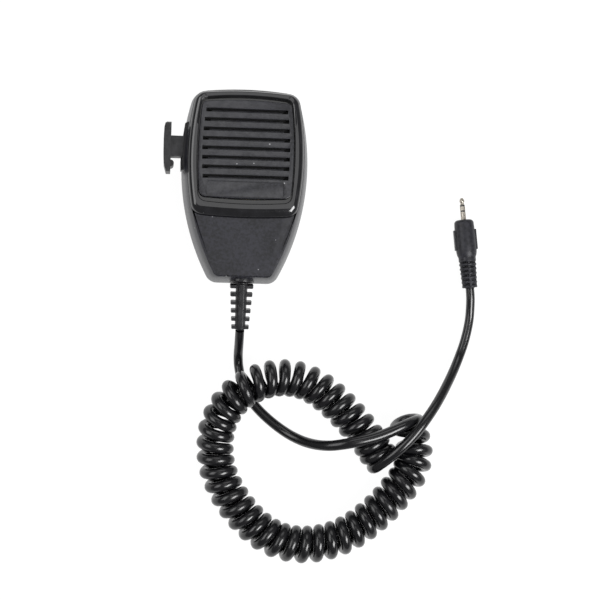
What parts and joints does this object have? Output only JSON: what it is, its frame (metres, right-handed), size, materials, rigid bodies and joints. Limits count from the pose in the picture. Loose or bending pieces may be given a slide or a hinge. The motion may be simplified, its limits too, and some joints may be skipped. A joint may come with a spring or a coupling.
{
  "type": "hand microphone",
  "caption": "Hand microphone with a slotted grille in a raised bezel, a side push-to-talk key, a rear hang-up button and a curly cord ending in a slim three-pole plug.",
  "frame": {"origin": "middle of the hang-up button's flat outer face, which the microphone lies on", "axes": "+X to the right of the grille, +Y along the housing away from the cord, +Z out of the grille"},
  "size_m": [0.1578, 0.2294, 0.032],
  "materials": {
    "cover_plastic": "fine spark-eroded matte",
    "polished_plastic": "polished",
    "satin_plastic": "satin",
    "dust_cloth": "woven",
    "soft_rubber": "moulded",
    "capsule_can": "drawn",
    "wire_red": "extruded",
    "board_laminate": "solder mask over laminate",
    "zinc_steel": "zinc plated",
    "capacitor_sleeve": "shrunk sleeve",
    "resistor_body": "lacquer",
    "chip_epoxy": "moulded",
    "trimmer_blue": "moulded",
    "trimmer_white": "moulded",
    "header_nylon": "moulded",
    "wire_blue": "extruded",
    "key_plastic": "fine matte",
    "guide_plastic": "moulded",
    "spring_steel": "drawn wire",
    "switch_body": "moulded",
    "plunger_red": "moulded",
    "tinned_brass": "tinned",
    "black_screw": "black oxide",
    "insert_brass": "turned",
    "relief_rubber": "moulded, satin",
    "cord_jacket": "smooth jacket",
    "plug_plastic": "moulded, satin",
    "core_plastic": "moulded",
    "contact_nickel": "nickel plated"
  },
  "bodies": {
    "housing": {"front_cover": "cover_plastic", "rear_cover": "cover_plastic", "grille_bezel": "polished_plastic", "grille_panel": "satin_plastic", "dust_cloth": "dust_cloth", "capsule_boot": "soft_rubber", "mic_capsule": "capsule_can", "capsule_wires": "wire_red", "circuit_board": "board_laminate", "board_screws": "zinc_steel", "capacitors": "capacitor_sleeve", "resistors": "resistor_body", "amplifier_chip": "chip_epoxy", "trimmer_base": "trimmer_blue", "wire_header": "header_nylon", "cord_wires": "wire_blue", "ptt_guide": "guide_plastic", "ptt_spring": "spring_steel", "ptt_switch": "switch_body", "switch_terminals": "tinned_brass", "hang_button": "key_plastic", "hang_screw": "zinc_steel", "hang_washer": "zinc_steel", "cover_screws": "black_screw", "thread_inserts": "insert_brass", "cord_clamp": "zinc_steel", "clamp_screws": "zinc_steel", "strain_relief": "relief_rubber", "cord_end": "cord_jacket", "cord_lead": "cord_jacket", "cord_coil": "cord_jacket", "cord_plug_lead": "cord_jacket", "plug_body": "plug_plastic", "plug_core": "core_plastic", "plug_sleeve": "contact_nickel", "plug_ring": "contact_nickel", "plug_tip": "contact_nickel"},
    "key": {"ptt_key": "key_plastic"},
    "plunger": {"switch_plunger": "plunger_red"},
    "rotor": {"trimmer_rotor": "trimmer_white"}
  },
  "joints": [
    {"name": "ptt_press", "type": "slide", "parent": "housing", "child": "key", "axis": [1, 0, 0], "range_m": [0, 0.0025], "stiffness_N_per_m": 600, "springref_m": -0.002, "deforming": ["ptt_spring"]},
    {"name": "plunger_press", "type": "slide", "parent": "housing", "child": "plunger", "axis": [1, 0, 0], "range_m": [0, 0.0008]},
    {"name": "trimmer_turn", "type": "hinge", "parent": "housing", "child": "rotor", "pos_m": [0.0125, -0.0182, 0.019], "axis": [0, 0, 1], "range_deg": [-130, 130]}
  ],
  "couplings": [
    {"joint": "plunger_press", "follows": "ptt_press", "ratio": 0.32}
  ]
}
